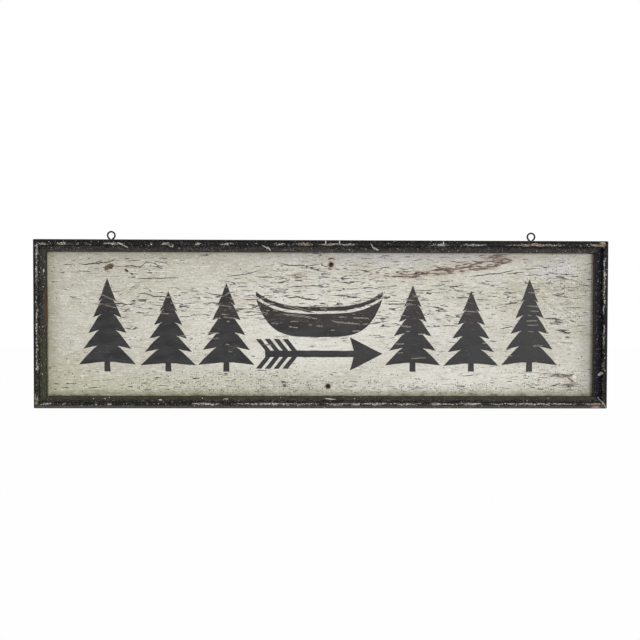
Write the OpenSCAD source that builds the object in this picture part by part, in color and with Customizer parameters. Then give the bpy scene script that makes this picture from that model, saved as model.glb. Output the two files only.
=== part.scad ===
// Framed wooden camp sign. One wide painted pine board lies in the rabbet of a bead and
// cove moulding, mitred and nailed at its corners. A batten behind the board is held by
// two slotted screws driven from the painted side, and two screw eyes in the top rail
// carry the sign. Millimetres: X runs along the sign, -Y is its painted side, +Z is up.
// The origin lies under the middle of the frame, on the surface the bottom rail stands on.

/* [Sign] */
// Length of the framed sign
sign_length = 1219; // [900:1:1800]
// Height of the framed sign, without its screw eyes
sign_height = 358; // [280:1:600]
// Depth of the frame, from the crest of its bead to its back
frame_depth = 41.5; // [41:0.5:60]

/* [Moulding] */
// Face width of the moulding, from its outer face to its sight edge
moulding_width = 25; // [23:0.1:36]
// Radius of the bead along the outer edge
bead_radius = 8.5; // [6:0.1:9.5]
// Angle that the bead goes round past its crest before the quirk stops it, in degrees
bead_sweep = 30; // [20:1:55]
// Step down from the bead to the edge of the cove
quirk_step = 1.4; // [0.6:0.1:2.4]
// Depth of the flat fillet along the sight edge, behind the crest of the bead
sight_depth = 9.2; // [8:0.1:11.5]
// Depth of the board's painted face behind the crest of the bead
board_setback = 19; // [16:0.1:19.5]
// Width of the rabbet that takes the edge of the board
rabbet_width = 10; // [6:0.5:12]
// Gap left by the shrunken wood at each mitre
mitre_gap = 0.2; // [0.1:0.05:1]
// Radius to which the four outer corners of the frame have worn
corner_radius = 5; // [1:0.5:6]

/* [Board] */
// Thickness of the board
board_thickness = 12.5; // [10:0.5:13]
// Play between each edge of the board and the rabbet
board_play = 0.5; // [0.2:0.1:2]

/* [Batten] */
// Width of the batten behind the board
batten_width = 64; // [40:1:120]
// Thickness of the batten
batten_thickness = 9.5; // [8:0.5:10]
// Distance of the batten from the middle of the sign, to the right in front view
batten_offset = 17; // [5:1:30]
// Room between each end of the batten and the frame
batten_end_room = 6; // [1:0.5:20]
// Width of the chamfer along the long edges of the batten
batten_chamfer = 2; // [0.5:0.5:4]

/* [Batten screws] */
// Diameter of the screws' slotted heads
screw_head_d = 8.4; // [7:0.1:10]
// Height of the countersunk cone under each head
screw_head_height = 2.8; // [2:0.1:3.5]
// Diameter of the screws' shanks
screw_shank_d = 4.2; // [3:0.1:5]
// Length of the screws under the heads
screw_length = 18; // [16:0.5:19]
// Length of the screws' points
screw_point_length = 5; // [3:0.5:7]
// Width of the driver slot
screw_slot_width = 1.2; // [0.8:0.1:1.6]
// Depth of the driver slot
screw_slot_depth = 1.2; // [0.8:0.1:1.6]
// Depth of the heads below the board's face
screw_set = 1; // [0.2:0.1:1.5]
// Width of the well bored over each head
screw_well_d = 10.4; // [10.2:0.1:14]
// Upper screw, to the right of the middle of the sign
upper_screw_x = 19; // [5:1:35]
// Upper screw, below the top of the frame
upper_screw_drop = 51; // [40:1:100]
// Lower screw, to the right of the middle of the sign
lower_screw_x = 13; // [0:1:30]
// Lower screw, above the bottom of the frame
lower_screw_rise = 46; // [40:1:100]

/* [Screw eyes] */
// Diameter of the wire
eye_wire_d = 3.5; // [2.5:0.1:5]
// Inner diameter of the ring
eye_ring_id = 12.2; // [9:0.1:18]
// Inner radius of the bend between the shank and the ring
eye_bend_ir = 0.7; // [0.5:0.1:2.5]
// Height of the eye above the rail
eye_height = 20.4; // [18:0.1:30]
// Angle between the shank and each leg that leads from the ring to the neck, in degrees
eye_leg_angle = 44; // [38:1:50]
// Gap between the neck and the cut tail of the wire
eye_tail_gap = 0.6; // [0.4:0.1:1.5]
// Length of the shank in the wood
eye_shank_length = 26; // [20:0.5:40]
// Length of the shank's point
eye_point_length = 4; // [2:0.5:6]
// Width of the dimple that the neck has crushed into the rail
eye_dimple_d = 8; // [7.5:0.1:12]
// Depth of that dimple below the start of the bend in the wire
eye_dimple_room = 0.3; // [0.2:0.1:1]
// Left eye, from the left end of the frame
left_eye_inset = 157; // [120:1:220]
// Right eye, from the right end of the frame
right_eye_inset = 158; // [120:1:220]

/* [Nails] */
// Diameter of the nails' shanks
nail_d = 2; // [1.4:0.1:2.6]
// Diameter of the nails' heads
nail_head_d = 3.4; // [2.8:0.1:4.4]
// Thickness of the nails' heads
nail_head_height = 1; // [0.6:0.1:1.6]
// Length of the nails
nail_length = 38; // [30:1:45]
// Length of the nails' points
nail_point_length = 3; // [2:0.5:5]
// Depth of the heads below the wood
nail_set = 0.6; // [0.2:0.1:1.5]
// Number of nails along each rail
rail_nail_count = 6; // [2:1:10]
// First rail nail, from the end of the frame
rail_nail_inset = 60; // [48:1:100]
// Number of nails along each stile
stile_nail_count = 2; // [2:1:4]
// First stile nail, from the top and the bottom of the frame
stile_nail_inset = 90; // [60:1:120]
// Corner nails, from the outer face of the piece that they run along
corner_nail_inset = 8; // [6:0.5:10]
// Corner nails driven down and up, from the crest of the bead
upright_nail_depth = 20; // [16:0.5:24]
// Corner nails driven in from the sides, from the crest of the bead
level_nail_depth = 30; // [28:0.5:33]

/* [Clearance] */
// Radial play of every shank and head in its hole
hole_play = 0.05; // [0.02:0.01:0.1]

/* [Hidden] */
$fn = 96;
overshoot = 1;

black_paint = [0.17, 0.17, 0.18];
cream_paint = [0.73, 0.72, 0.66];
bare_pine = [0.50, 0.40, 0.29];
rusty_iron = [0.27, 0.19, 0.15];
dark_iron = [0.22, 0.22, 0.22];

// Places across the moulding, from its outer face, and behind the crest of the bead
quirk_place = bead_radius * (1 + sin(bead_sweep));
quirk_depth = bead_radius * (1 - cos(bead_sweep)) + quirk_step;
cove_radius = sight_depth - quirk_depth;
leg_width = moulding_width - rabbet_width;

// Planes along Y
crest_y = -frame_depth / 2;
board_face_y = crest_y + board_setback;
board_back_y = board_face_y + board_thickness;
board_middle_y = board_face_y + board_thickness / 2;

board_length = sign_length - 2 * (leg_width + board_play);
board_height = sign_height - 2 * (leg_width + board_play);
batten_length = sign_height - 2 * (leg_width + batten_end_room);

upper_screw_z = sign_height - upper_screw_drop;
lower_screw_z = lower_screw_rise;
left_eye_x = -sign_length / 2 + left_eye_inset;
right_eye_x = sign_length / 2 - right_eye_inset;

// Radii of the eye's ring and bend at the middle of the wire, the ring's centre above the
// rail, and the depths in the rail where the legs would cross and where the bend starts
ring_r = (eye_ring_id + eye_wire_d) / 2;
bend_r = eye_bend_ir + eye_wire_d / 2;
ring_rise = eye_height - ring_r - eye_wire_d / 2;
crossing_depth = ring_r / sin(eye_leg_angle) - ring_rise;
bend_start = crossing_depth + bend_r * tan(eye_leg_angle / 2);
eye_dimple_depth = bend_start + eye_dimple_room;

// Lengths of the legs, from the ring to the bend and from the ring to the cut tail, which
// keeps clear of the other leg
leg_to_crossing = ring_r / tan(eye_leg_angle);
neck_leg_length = leg_to_crossing - bend_r * tan(eye_leg_angle / 2);
tail_clearance = (eye_tail_gap + eye_wire_d * pow(cos(eye_leg_angle), 2)) / sin(2 * eye_leg_angle);
tail_leg_length = leg_to_crossing - tail_clearance;

// The wire is a little thicker along the legs and twice that at the bend, the ring runs on
// into the legs by this angle, and the leg and the shank into the bend by this length
wire_swell = 0.1;
ring_overlap = 2;
bend_overlap = 0.2;

// Evenly spaced places along a side of the frame, counted from its middle
function spaced(side, inset, count) =
    [for (i = [0 : count - 1]) inset - side / 2 + i * (side - 2 * inset) / (count - 1)];

rail_nail_xs = spaced(sign_length, rail_nail_inset, rail_nail_count);
stile_nail_zs = spaced(sign_height, stile_nail_inset, stile_nail_count);

// Section of the moulding: X from the outer face, Y back from the crest of the bead
module moulding_section() {
    difference() {
        union() {
            intersection() {
                translate([bead_radius, bead_radius]) circle(r = bead_radius);
                square([quirk_place, 2 * bead_radius]);
            }
            translate([0, bead_radius]) square([quirk_place, frame_depth - bead_radius]);
            translate([quirk_place, quirk_depth])
                square([moulding_width - quirk_place, frame_depth - quirk_depth]);
        }
        translate([quirk_place + cove_radius, quirk_depth]) circle(r = cove_radius);
        translate([quirk_place + cove_radius, 0]) square([moulding_width, sight_depth]);
        translate([leg_width, board_setback]) square([moulding_width, frame_depth]);
    }
}

// The wedge between the two mitre cuts of a piece of outer length side
module between_mitres(side) {
    inset = mitre_gap * sin(45);
    short_half = side / 2 - moulding_width - overshoot - inset;
    long_half = side / 2 + overshoot - inset;
    translate([0, frame_depth, 0])
        rotate([90, 0, 0])
            linear_extrude(2 * frame_depth)
                polygon([
                    [-overshoot, -long_half], [moulding_width + overshoot, -short_half],
                    [moulding_width + overshoot, short_half], [-overshoot, long_half]
                ]);
}

// A mitred piece standing along Z, with its outer face on X = 0
module mitred_piece(side) {
    intersection() {
        translate([0, crest_y, 0]) linear_extrude(side, center = true) moulding_section();
        between_mitres(side);
    }
}

// What stands at the origin and points down is put on an outer face of the frame
module on_top(x, y) translate([x, y, sign_height]) children();
module on_bottom(x, y) translate([x, y, 0]) mirror([0, 0, 1]) children();
module on_left(z, y) translate([-sign_length / 2, y, z]) rotate([0, -90, 0]) children();
module on_right(z, y) mirror([1, 0, 0]) on_left(z, y) children();

// What stands at the origin and points down is put on the painted face of the board
module on_board(x, z) translate([x, board_face_y, z]) rotate([90, 0, 0]) children();

// A cut nail with its head set below the surface, grown by play to make its hole
module nail(play = 0) {
    depth = nail_set + nail_length;
    translate([0, 0, -nail_set - nail_head_height - play])
        cylinder(h = nail_head_height + play + (play > 0 ? nail_set + overshoot : 0),
                 d = nail_head_d + 2 * play);
    translate([0, 0, nail_point_length - depth])
        cylinder(h = nail_length - nail_point_length - nail_head_height / 2,
                 d = nail_d + 2 * play);
    translate([0, 0, -depth - play])
        cylinder(h = nail_point_length + play, d1 = nail_d / 4, d2 = nail_d + 2 * play);
}

module rail_nails(play = 0) {
    for (x = rail_nail_xs) translate([x, board_middle_y, 0]) nail(play);
}

module top_nails(play = 0) on_top(0, 0) rail_nails(play);
module bottom_nails(play = 0) on_bottom(0, 0) rail_nails(play);

module left_nails(play = 0) {
    for (z = stile_nail_zs) on_left(sign_height / 2 + z, board_middle_y) nail(play);
}

module right_nails(play = 0) mirror([1, 0, 0]) left_nails(play);

// The two nails that cross in the top left corner, one down through the rail into the
// stile and one in through the stile into the rail
module top_left_corner(play = 0) {
    on_top(corner_nail_inset - sign_length / 2, crest_y + upright_nail_depth) nail(play);
    on_left(sign_height - corner_nail_inset, crest_y + level_nail_depth) nail(play);
}

module top_right_corner(play = 0) mirror([1, 0, 0]) top_left_corner(play);

module bottom_left_corner(play = 0) {
    translate([0, 0, sign_height]) mirror([0, 0, 1]) top_left_corner(play);
}

module bottom_right_corner(play = 0) mirror([1, 0, 0]) bottom_left_corner(play);

// Countersunk slotted wood screw with its head at the origin, pointing down
module wood_screw() {
    difference() {
        union() {
            translate([0, 0, -screw_head_height])
                cylinder(h = screw_head_height, d1 = screw_shank_d, d2 = screw_head_d);
            translate([0, 0, screw_point_length - screw_length])
                cylinder(h = screw_length - screw_point_length - screw_head_height / 2,
                         d = screw_shank_d);
            translate([0, 0, -screw_length])
                cylinder(h = screw_point_length, d1 = screw_shank_d / 5, d2 = screw_shank_d);
        }
        translate([-screw_head_d, -screw_slot_width / 2, -screw_slot_depth])
            cube([2 * screw_head_d, screw_slot_width, screw_slot_depth + overshoot]);
    }
}

// The hole for a wood screw, with the well that its head is set into
module screw_hole() {
    bore_d = screw_shank_d + 2 * hole_play;
    translate([0, 0, -screw_set]) cylinder(h = screw_set + overshoot, d = screw_well_d);
    translate([0, 0, -screw_set - screw_head_height - hole_play])
        cylinder(h = screw_head_height + hole_play, d1 = bore_d,
                 d2 = screw_head_d + 2 * hole_play);
    translate([0, 0, -screw_set - screw_length - hole_play])
        cylinder(h = screw_length + hole_play, d = bore_d);
}

module both_screw_holes() {
    on_board(upper_screw_x, upper_screw_z) screw_hole();
    on_board(lower_screw_x, lower_screw_z) screw_hole();
}

// Wire that runs from angle first to angle last round the origin, in the plane Y = 0
module wire_arc(r, first, last, d = eye_wire_d) {
    rotate([90, 0, 0])
        rotate([0, 0, first])
            rotate_extrude(angle = last - first)
                translate([r, 0]) circle(d = d);
}

// Straight leg down from the ring, whose centre is at the origin: side -1 leads to the neck
// and side 1 to the tail
module eye_leg(side, length) {
    rotate([0, side * eye_leg_angle, 0])
        translate([side * ring_r, 0, -length])
            cylinder(h = length, d = eye_wire_d + wire_swell);
}

// Screw eye with its neck at the origin: the wire rises from the shank, bends to the left,
// runs up to the ring and goes round it, and its cut tail comes down close to the neck
module screw_eye() {
    translate([0, 0, ring_rise]) {
        wire_arc(ring_r, -eye_leg_angle - ring_overlap, 180 + eye_leg_angle + ring_overlap);
        eye_leg(-1, neck_leg_length + bend_overlap);
        eye_leg(1, tail_leg_length);
    }
    translate([-bend_r, 0, -bend_start])
        wire_arc(bend_r, 0, eye_leg_angle, eye_wire_d + 2 * wire_swell);
    translate([0, 0, eye_point_length - eye_shank_length])
        cylinder(h = eye_shank_length - eye_point_length - bend_start + bend_overlap,
                 d = eye_wire_d);
    translate([0, 0, -eye_shank_length])
        cylinder(h = eye_point_length, d1 = eye_wire_d / 5, d2 = eye_wire_d);
}

// The bore for a screw eye, with the dimple round its neck
module eye_hole(x) {
    bore_d = eye_wire_d + 2 * hole_play;
    on_top(x, board_middle_y) {
        translate([0, 0, -eye_shank_length - hole_play])
            cylinder(h = eye_shank_length, d = bore_d);
        translate([0, 0, -eye_dimple_depth])
            cylinder(h = eye_dimple_depth, d1 = bore_d, d2 = eye_dimple_d);
        cylinder(h = overshoot, d = eye_dimple_d);
    }
}

module both_eye_holes() {
    eye_hole(left_eye_x);
    eye_hole(right_eye_x);
}

module board() {
    color(cream_paint)
        difference() {
            translate([-board_length / 2, board_face_y, (sign_height - board_height) / 2])
                cube([board_length, board_thickness, board_height]);
            both_screw_holes();
            both_eye_holes();
            top_nails(hole_play);
            bottom_nails(hole_play);
            left_nails(hole_play);
            right_nails(hole_play);
        }
}

module batten() {
    color(bare_pine)
        difference() {
            translate([batten_offset, board_back_y, (sign_height - batten_length) / 2])
                linear_extrude(batten_length)
                    polygon([
                        [-batten_width / 2, 0], [batten_width / 2, 0],
                        [batten_width / 2, batten_thickness - batten_chamfer],
                        [batten_width / 2 - batten_chamfer, batten_thickness],
                        [batten_chamfer - batten_width / 2, batten_thickness],
                        [-batten_width / 2, batten_thickness - batten_chamfer]
                    ]);
            both_screw_holes();
        }
}

// The frame's outline in front view, with its worn corners
module worn_outline() {
    rotate([90, 0, 0])
        linear_extrude(2 * frame_depth, center = true)
            for (x = [-1, 1], z = [-1, 1])
                translate([x * sign_length / 4, sign_height / 2 + z * sign_height / 4])
                    rounded_quarter(x, z);
}

// A quarter of that outline, whose rounded corner points to x and z
module rounded_quarter(x, z) {
    width = sign_length / 2;
    height = sign_height / 2;
    corner = [x * (width / 2 - corner_radius), z * (height / 2 - corner_radius)];
    translate(corner) circle(r = corner_radius);
    translate([-x * corner_radius / 2, 0])
        square([width - corner_radius, height], center = true);
    translate([0, -z * corner_radius / 2])
        square([width, height - corner_radius], center = true);
}

module plain_rail() {
    intersection() {
        rotate([0, -90, 0]) mitred_piece(sign_length);
        worn_outline();
    }
}

module plain_stile() {
    intersection() {
        translate([-sign_length / 2, 0, sign_height / 2]) mitred_piece(sign_height);
        worn_outline();
    }
}

module top_rail() {
    color(black_paint)
        difference() {
            translate([0, 0, sign_height]) mirror([0, 0, 1]) plain_rail();
            top_nails(hole_play);
            top_left_corner(hole_play);
            top_right_corner(hole_play);
            both_eye_holes();
        }
}

module bottom_rail() {
    color(black_paint)
        difference() {
            plain_rail();
            bottom_nails(hole_play);
            bottom_left_corner(hole_play);
            bottom_right_corner(hole_play);
        }
}

module left_stile() {
    color(black_paint)
        difference() {
            plain_stile();
            left_nails(hole_play);
            top_left_corner(hole_play);
            bottom_left_corner(hole_play);
        }
}

module right_stile() {
    color(black_paint)
        difference() {
            mirror([1, 0, 0]) plain_stile();
            right_nails(hole_play);
            top_right_corner(hole_play);
            bottom_right_corner(hole_play);
        }
}

module batten_screw(x, z) {
    color(rusty_iron) on_board(x, z) translate([0, 0, -screw_set]) wood_screw();
}

module placed_eye(x) color(dark_iron) on_top(x, board_middle_y) screw_eye();

board();
batten();
top_rail();
bottom_rail();
left_stile();
right_stile();
batten_screw(upper_screw_x, upper_screw_z);  // upper_batten_screw
batten_screw(lower_screw_x, lower_screw_z);  // lower_batten_screw
placed_eye(left_eye_x);  // left_screw_eye
placed_eye(right_eye_x);  // right_screw_eye
color(rusty_iron) top_left_corner();  // top_left_corner_nails
color(rusty_iron) top_right_corner();  // top_right_corner_nails
color(rusty_iron) bottom_left_corner();  // bottom_left_corner_nails
color(rusty_iron) bottom_right_corner();  // bottom_right_corner_nails
color(rusty_iron) top_nails();  // top_rail_nails
color(rusty_iron) bottom_nails();  // bottom_rail_nails
color(rusty_iron) left_nails();  // left_stile_nails
color(rusty_iron) right_nails();  // right_stile_nails
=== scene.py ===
"""Old hanging wooden sign: cream paint on a board, black woodland shapes, a worn black moulding
round it, a batten behind it and two screw eyes that turn. Metres, +Z up, the face looks along -Y.
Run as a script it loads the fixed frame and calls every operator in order."""

import random
from math import cos, hypot, pi, radians, sin

import bpy
from bpy.props import FloatProperty, FloatVectorProperty, IntProperty, PointerProperty
from bpy.types import Operator, Panel, PropertyGroup
from mathutils import Euler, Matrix, Quaternion, Vector, noise


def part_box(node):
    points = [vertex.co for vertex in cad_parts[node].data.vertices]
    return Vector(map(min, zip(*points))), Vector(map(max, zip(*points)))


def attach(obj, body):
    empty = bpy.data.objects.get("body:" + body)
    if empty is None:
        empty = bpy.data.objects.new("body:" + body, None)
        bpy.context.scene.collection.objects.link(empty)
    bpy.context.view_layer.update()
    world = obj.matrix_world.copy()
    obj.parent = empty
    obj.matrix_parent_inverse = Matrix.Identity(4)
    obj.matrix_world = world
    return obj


bl_info = {
    "name": "Hanging Wooden Sign",
    "version": (1, 0, 0),
    "blender": (4, 5, 0),
    "location": "3D View > Sidebar > Sign",
    "description": "Dresses a framed wooden sign with worn paint, bare wood and rusty iron",
    "category": "Object",
}

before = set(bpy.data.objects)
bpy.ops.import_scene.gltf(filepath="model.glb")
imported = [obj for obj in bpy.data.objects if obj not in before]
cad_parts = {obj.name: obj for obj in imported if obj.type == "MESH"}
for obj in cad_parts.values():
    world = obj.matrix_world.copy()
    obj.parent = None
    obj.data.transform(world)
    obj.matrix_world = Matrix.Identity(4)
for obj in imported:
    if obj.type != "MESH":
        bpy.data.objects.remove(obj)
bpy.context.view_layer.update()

# Sizes and places that the frame gives, and the width of its moulding
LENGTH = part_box("right_stile")[1].x * 2
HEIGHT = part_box("top_rail")[1].z
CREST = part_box("top_rail")[0].y
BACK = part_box("top_rail")[1].y
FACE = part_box("board")[0].y
MOULDING = 0.025
OPENING_X = LENGTH / 2 - MOULDING
OPENING_LOW = MOULDING
OPENING_HIGH = HEIGHT - MOULDING
# The two screws through the board, and the opening that the paint leaves round each
UPPER_SCREW = (0.019, 0.307)
LOWER_SCREW = (0.013, 0.046)
SCREW_OPENING = 0.0056
# Between the edge of the cream paint and the moulding
COAT_GAP = 0.0002
# How far a cutter reaches past both sides of a coat
OVERSHOOT = 0.001


def paint(red, green, blue):
    """Linear colour of a paint chip given in the usual 0 to 255."""
    parts = [value / 255 for value in (red, green, blue)]
    return tuple(v / 12.92 if v <= 0.04045 else ((v + 0.055) / 1.055) ** 2.4 for v in parts)


# Chips of the colours that aren't settings, in the usual 0 to 255
CHIPS = {
    "dim_cream": (160, 156, 136), "bright_cream": (238, 237, 227), "lilac_cream": (206, 203, 207),
    "olive_cream": (196, 196, 166), "rosy_cream": (210, 194, 172), "shaded_cream": (160, 155, 138),
    "pale_streak": (247, 246, 240), "fine_dirt": (146, 140, 120), "fine_light": (248, 247, 241),
    "lifted_rim_highlight": (246, 244, 236), "pink_cream": (206, 182, 168), "torn_rim": (184, 158, 146),
    "lower_screw_stain": (84, 80, 66), "upper_screw_stain": (118, 90, 74),
    "fresh_chip": (240, 238, 232), "painted_shade_grey": (122, 119, 110), "olive_rim": (128, 126, 90),
    "dirt_and_shade_line": (66, 64, 42), "faded_black": (62, 62, 63), "black_on_fibres": (84, 81, 78),
    "warm_black": (60, 44, 38), "worn_pale": (150, 138, 122), "worn_brown": (104, 84, 74),
    "cracked_black": (120, 110, 98), "dotted_black": (150, 146, 138), "old_wood": (80, 66, 56),
    "board_rings": (128, 98, 70), "batten_wood": (178, 148, 108), "batten_rings": (138, 108, 76),
    "wood_stain": (98, 84, 70), "wood_streak": (182, 160, 130), "wood_tick": (66, 50, 38),
    "damp_wood": (72, 60, 48), "branch_knot": (88, 54, 34), "deep_black": (12, 11, 11),
    "bead_shade": (12, 11, 12), "green_dust": (66, 66, 48), "brown_streak": (92, 68, 52),
    "pale_wood": (178, 154, 140), "bright_rub": (226, 223, 214), "scuff": (98, 92, 84),
    "back_ring": (124, 94, 66), "back_stain": (84, 66, 50), "bright_rust": (128, 74, 42),
    "dark_iron": (24, 21, 20), "pale_floor": (240, 239, 237)}

# Spacing of the nodes in the node editor
COLUMN_WIDTH, ROW_HEIGHT = 230, 190


def colour_setting(name, description, chip):
    return FloatVectorProperty(name=name, description=description, default=paint(*chip),
                               subtype="COLOR", size=3, min=0, max=1)


def length_setting(name, description, metres, least=0.0, most=5.0):
    return FloatProperty(name=name, description=description, default=metres, min=least, max=most,
                         precision=5, subtype="DISTANCE", unit="LENGTH")


def number_setting(name, description, default, **rest):
    return FloatProperty(name=name, description=description, default=default, **rest)


class SignFinish(PropertyGroup):
    """Colours of the paints, woods and metals, and how worn they are."""

    cream: colour_setting("Cream paint", "Old cream paint of the face", (212, 209, 198))
    stain: colour_setting("Stain", "Yellowed patches in the cream paint", (197, 193, 174))
    black: colour_setting("Black paint", "Black paint of the shapes on the face", (47, 46, 48))
    frame_black: colour_setting("Frame paint", "Black paint of the moulding", (26, 25, 25))
    rubbed: colour_setting("Rubbed paint", "Grey of the rubbed crest", (176, 172, 163))
    bare: colour_setting("Bare wood", "Wood where the paint has gone", (128, 108, 94))
    grime: colour_setting("Grime", "Dirt in the cracks of the paint", (54, 46, 38))
    pine: colour_setting("Pine", "Raw pine of the back", (164, 134, 100))
    rust: colour_setting("Rust", "Rust on screws and nails", (92, 52, 34))
    iron: colour_setting("Iron", "Dark iron of the screw eyes", (16, 15, 15))
    crackle: number_setting("Crackle", "Share of the face that is crackled", 0.5, min=0, max=1,
                            subtype="FACTOR")
    wear: number_setting("Wear", "How far the crest of the moulding is rubbed", 0.5, min=0, max=1,
                         subtype="FACTOR")


class SignCoats(PropertyGroup):
    """Sizes of the coats of paint on the face and of the shapes painted on it."""

    cream_film: length_setting("Cream coat", "Thickness of the cream paint",
                               0.00025, 0.00005, 0.002)
    black_film: length_setting("Black coat", "Thickness of the black paint",
                               0.0002, 0.00005, 0.002)
    foot: length_setting("Foot of the shapes", "Height of the lower line of the shapes", 0.0775)
    shape_height: length_setting("Height of the shapes", "From the lower to the upper line", 0.2)
    tree_width: length_setting("Tree width", "Width of a pine at its lowest boughs", 0.121)
    boughs: IntProperty(name="Boughs", description="Tiers of boughs on a pine", default=5,
                        min=2, max=9)
    canoe_length: length_setting("Canoe length", "From stem to stem", 0.272)
    arrow_length: length_setting("Arrow length", "From the nock to the tip", 0.272)
    wobble: length_setting("Brush wobble", "How far the edge of the paint wanders", 0.0007)


class SignStage(PropertyGroup):
    """Camera, lamps and floor."""

    camera_x: number_setting("Camera X", "Sideways place of the camera", -0.01611, precision=5,
                             unit="LENGTH")
    camera_y: number_setting("Camera Y", "Distance in front of the sign", -1.11075, precision=5,
                             unit="LENGTH")
    camera_z: number_setting("Camera Z", "Height of the camera", 0.20459, precision=5,
                             unit="LENGTH")
    lens: number_setting("Lens", "Focal length for a 36 mm sensor", 29.061, min=1, unit="CAMERA")
    yaw: number_setting("Yaw", "Turn to the right", radians(0.6017), precision=4, subtype="ANGLE")
    pitch: number_setting("Pitch", "Tilt upwards", radians(-0.84), precision=4, subtype="ANGLE")
    roll: number_setting("Roll", "Roll about the view", radians(0.137), precision=4,
                         subtype="ANGLE")
    floor_drop: length_setting("Floor drop", "Distance of the floor below the hanging sign", 0.9)
    key: number_setting("Key", "Strength of the soft key lamp", 1.85, min=0)
    back: number_setting("Back", "Strength of the lamp behind the sign", 1.3, min=0)
    ambient: number_setting("Ambient", "Strength of the even light", 0.38, min=0)


# Shader nodes

class Mixing:
    """The node tree of a material, the world or a shared effect, with short calls for its nodes."""

    def __init__(self, tree):
        self.tree = tree

    def feed(self, socket, value):
        """Joins a socket to an input, or sets a plain value or the colour of a chip on it."""
        if isinstance(value, bpy.types.NodeSocket):
            self.tree.links.new(value, socket)
        elif socket.type == "RGBA":
            colour = paint(*CHIPS[value]) if isinstance(value, str) else value
            socket.default_value = (*colour, 1.0)
        else:
            socket.default_value = value

    def add(self, kind, inputs=None, **settings):
        """Adds a node, with its settings first and then its inputs."""
        node = self.tree.nodes.new("ShaderNode" + kind)
        for name, value in settings.items():
            setattr(node, name, value)
        for name, value in (inputs or {}).items():
            self.feed(node.inputs[name], value)
        return node

    def calc(self, operation, *values):
        return self.add("Math", dict(enumerate(values)), operation=operation).outputs[0]

    def times(self, first, second):
        return self.calc("MULTIPLY", first, second)

    def plus(self, first, second):
        return self.calc("ADD", first, second)

    def minus(self, first, second):
        return self.calc("SUBTRACT", first, second)

    def off(self, value, middle):
        """How far a value is from a middle one, on either side."""
        return self.calc("ABSOLUTE", self.minus(value, middle))

    def line(self, value, slope, start):
        """The value times the slope, from the start up."""
        return self.calc("MULTIPLY_ADD", value, slope, start)

    def total(self, first, *terms):
        """The first value, with each further one added at its own share."""
        for value, share in terms:
            first = self.line(value, share, first)
        return first

    def strongest(self, *masks):
        best = masks[0]
        for mask in masks[1:]:
            best = self.calc("MAXIMUM", best, mask)
        return best

    def step(self, value, start, end, low=0.0, high=1.0):
        """Smooth step from low at start to high at end."""
        node = self.add("MapRange", {0: value, 1: start, 2: end, 3: low, 4: high},
                        interpolation_type="SMOOTHSTEP")
        return node.outputs[0]

    def blend(self, factor, first, second):
        node = self.add("Mix", data_type="RGBA")
        for index, value in ((0, factor), (6, first), (7, second)):
            self.feed(node.inputs[index], value)
        return node.outputs[2]

    def coats(self, colour, *layers):
        """Colours laid one over another by their masks, each at its share if it has one."""
        for mask, top, *share in layers:
            colour = self.blend(self.times(mask, *share) if share else mask, colour, top)
        return colour

    def parts(self, vector):
        return self.add("SeparateXYZ", {"Vector": vector}).outputs

    def joined(self, x, y, z):
        return self.add("CombineXYZ", {"X": x, "Y": y, "Z": z}).outputs[0]

    def stretched(self, place, scale, offset=(0, 0, 0)):
        inputs = {"Vector": place, "Location": offset, "Scale": scale}
        return self.add("Mapping", inputs).outputs[0]

    def cloud(self, place, scale, detail=2.0, roughness=0.5, distortion=0.0, stretch=None):
        """Noise, on coordinates that are stretched first where a stretch is given."""
        if stretch:
            place = self.stretched(place, stretch)
        inputs = {"Vector": place, "Scale": scale, "Detail": detail, "Roughness": roughness,
                  "Distortion": distortion}
        return self.add("TexNoise", inputs).outputs["Fac"]

    def spot(self, place, x, z, reach_x, reach_z, slope=0.0):
        """Mask over an oval of the face: 1 in its middle and 0 from its rim on."""
        inputs = {"Vector": place, "Location": (x, 0, z), "Rotation": (0, -radians(slope), 0),
                  "Scale": (reach_x, 10, reach_z)}
        moved = self.add("Mapping", inputs, vector_type="TEXTURE").outputs[0]
        return self.add("TexGradient", {"Vector": moved}, gradient_type="SPHERICAL").outputs["Fac"]

    def spots(self, place, places):
        return self.strongest(*[self.spot(place, *where) for where in places])

    def ovals(self, place, places, sharp=0.5):
        return self.step(self.spots(place, places), 0.0, sharp)

    def use(self, effect, place, **inputs):
        """Places a shared effect with its own values, and returns its outputs."""
        node = self.tree.nodes.new("ShaderNodeGroup")
        node.node_tree = effect()
        for name, value in {"Vector": place, **inputs}.items():
            self.feed(node.inputs[name], value)
        return node.outputs

    def lay_out(self):
        """Puts the nodes in columns, from the first inputs on the left to the output."""
        column = {}

        def depth(node):
            if node.name not in column:
                column[node.name] = 0
                after = [link.to_node for out in node.outputs for link in out.links]
                column[node.name] = 1 + max((depth(n) for n in after), default=0)
            return column[node.name]

        rows = {}
        for node in self.tree.nodes:
            place = depth(node)
            rows[place] = rows.get(place, 0) + 1
            node.location = (-COLUMN_WIDTH * place, -ROW_HEIGHT * rows[place])


def fresh_nodes(owner):
    """The empty node tree of a material or a world."""
    owner.use_nodes = True
    owner.node_tree.nodes.clear()
    return Mixing(owner.node_tree)


def shared_effect(name, inputs, outputs, wire):
    """A node group, built once and then found by name: wire(mixing, inputs) gives its outputs."""
    tree = bpy.data.node_groups.get(name)
    if tree:
        return tree
    tree = bpy.data.node_groups.new(name, "ShaderNodeTree")
    inputs = {"Vector": None, **inputs}
    for label, value in inputs.items():
        kind = "NodeSocketVector" if value is None else "NodeSocketFloat"
        socket = tree.interface.new_socket(name=label, in_out="INPUT", socket_type=kind)
        if value is not None:
            socket.default_value = value
    for label in outputs:
        tree.interface.new_socket(name=label, in_out="OUTPUT", socket_type="NodeSocketFloat")
    start = tree.nodes.new("NodeGroupInput")
    end = tree.nodes.new("NodeGroupOutput")
    s = Mixing(tree)
    for label, value in zip(outputs, wire(s, {label: start.outputs[label] for label in inputs})):
        s.feed(end.inputs[label], value)
    s.lay_out()
    return tree


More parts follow.
